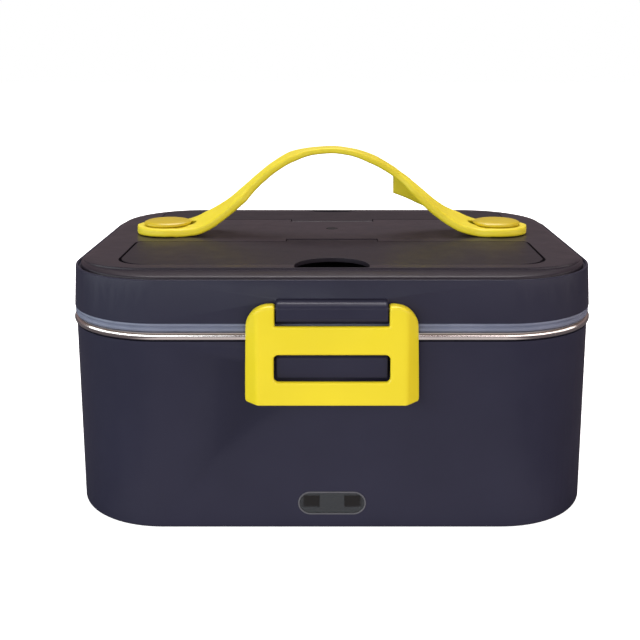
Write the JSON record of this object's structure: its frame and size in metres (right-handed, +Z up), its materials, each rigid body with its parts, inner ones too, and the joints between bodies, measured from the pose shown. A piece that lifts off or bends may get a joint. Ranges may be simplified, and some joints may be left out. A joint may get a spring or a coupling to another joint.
{
  "type": "electric lunch box",
  "caption": "Heated lunch box with a lift-out steel container, a clamped lid with two flap-covered cutlery compartments, and a soft carrying strap.",
  "frame": {"origin": "on the standing surface under the feet, in the middle of the whole box in plan", "axes": "+X along the long side to the right seen from the front, -Y out of the front with the indicator window, +Z up"},
  "size_m": [0.24, 0.1958, 0.1618],
  "materials": {
    "housing": "satin moulded plastic, dark blue-violet grey",
    "inner_moulding": "matt heat-resistant plastic",
    "cover": "satin moulded plastic",
    "foot": "matt",
    "steel": "polished and lightly brushed",
    "aluminium": "plain",
    "mica": "mica sheet",
    "thermostat_black": "bakelite",
    "fuse": "ceramic",
    "board": "circuit board",
    "bezel": "satin",
    "lens": "smoked clear plastic",
    "light_frame": "matt",
    "led": "diffused",
    "inlet_black": "matt",
    "pin_brass": "plated",
    "wire": "sleeved wire",
    "seal": "matt silicone",
    "latch_yellow": "satin moulded plastic",
    "strap_yellow": "soft silicone",
    "vent_rubber": "matt"
  },
  "bodies": {
    "base": {"outer_housing": "housing", "base_plate": "inner_moulding", "feet": "foot", "base_screws": "steel", "heating_well": "inner_moulding", "heater_plate": "aluminium", "heating_element": "mica", "thermostat": "thermostat_black", "thermal_fuse": "fuse", "control_board": "board", "indicator_bezel": "bezel", "indicator_lens": "lens", "indicator_frame": "light_frame", "led_board": "board", "indicator_leds": "led", "power_inlet": "inlet_black", "inlet_pins": "pin_brass", "wiring": "wire"},
    "container": {"container": "steel"},
    "lid": {"lid_frame": "housing", "lid_cover": "cover", "lid_tray": "inner_moulding", "inner_lid": "aluminium", "gasket": "seal", "front_flap_pin": "steel", "rear_flap_pin": "steel", "front_latch_pin": "steel", "rear_latch_pin": "steel", "left_button": "latch_yellow", "right_button": "latch_yellow"},
    "front_flap": {"front_flap": "cover"},
    "rear_flap": {"rear_flap": "cover"},
    "front_latch": {"front_latch": "latch_yellow"},
    "rear_latch": {"rear_latch": "latch_yellow"},
    "strap": {"strap_grip": "strap_yellow", "left_strap_leg": "strap_yellow", "right_strap_leg": "strap_yellow"},
    "left_pad": {"left_strap_pad": "strap_yellow"},
    "right_pad": {"right_strap_pad": "strap_yellow"},
    "vent_plug": {"vent_plug": "vent_rubber"}
  },
  "joints": [
    {"name": "container_lift", "type": "slide", "parent": "base", "child": "container", "axis": [0, 0, 1], "range_m": [0, 0.09]},
    {"name": "lid_lift", "type": "slide", "parent": "container", "child": "lid", "axis": [0, 0, 1], "range_m": [0, 0.12]},
    {"name": "front_latch_swing", "type": "hinge", "parent": "lid", "child": "front_latch", "pos_m": [0, -0.0942, 0.1022], "axis": [-1, 0, 0], "range_deg": [0, 140]},
    {"name": "rear_latch_swing", "type": "hinge", "parent": "lid", "child": "rear_latch", "pos_m": [0, 0.0942, 0.1022], "axis": [1, 0, 0], "range_deg": [0, 140]},
    {"name": "front_flap_open", "type": "hinge", "parent": "lid", "child": "front_flap", "pos_m": [0, -0.012, 0.1144], "axis": [-1, 0, 0], "range_deg": [0, 95]},
    {"name": "rear_flap_open", "type": "hinge", "parent": "lid", "child": "rear_flap", "pos_m": [0, 0.0437, 0.1144], "axis": [1, 0, 0], "range_deg": [0, 95]},
    {"name": "vent_plug_pull", "type": "slide", "parent": "lid", "child": "vent_plug", "axis": [0, 0, 1], "range_m": [0, 0.003]},
    {"name": "handle_flatten", "type": "slide", "parent": "lid", "child": "strap", "axis": [0, 0, -1], "range_m": [0, 0.017], "stiffness_N_per_m": 400, "deforming": ["left_strap_leg", "right_strap_leg"]},
    {"name": "left_pad_slide", "type": "slide", "parent": "strap", "child": "left_pad", "axis": [-0.507, 0, 0.8619], "range_m": [0, 0.0198]},
    {"name": "right_pad_slide", "type": "slide", "parent": "strap", "child": "right_pad", "axis": [0.507, 0, 0.8619], "range_m": [0, 0.0198]}
  ],
  "couplings": [
    {"joint": "left_pad_slide", "follows": "handle_flatten", "ratio": 1.1602},
    {"joint": "right_pad_slide", "follows": "handle_flatten", "ratio": 1.1602}
  ]
}
